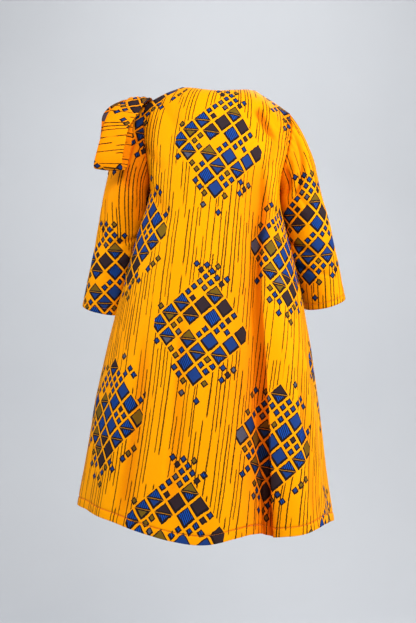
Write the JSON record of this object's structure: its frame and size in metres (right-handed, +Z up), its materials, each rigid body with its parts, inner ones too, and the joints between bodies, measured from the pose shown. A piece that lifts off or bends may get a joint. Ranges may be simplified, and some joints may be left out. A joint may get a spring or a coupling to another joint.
{
  "type": "african wax-print swing dress",
  "caption": "Yellow wax-print swing dress in its worn shape with nobody in it: boat neck, three-quarter sleeves and a big bow loop on the left shoulder.",
  "frame": {"origin": "middle of the neck opening, at the height where the shoulder seams meet the neckline", "axes": "+Z up along the wearer, +X to the wearer's right, -Y to the back, which is the side the picture shows"},
  "size_m": [0.6429, 0.4809, 1.0349],
  "materials": {
    "print_cotton": "matte printed cotton"
  },
  "bodies": {
    "root": {"back": "print_cotton", "front": "print_cotton", "sleeve_left": "print_cotton", "sleeve_right": "print_cotton", "bow_loop": "print_cotton", "bow_knot": "print_cotton"}
  },
  "joints": []
}
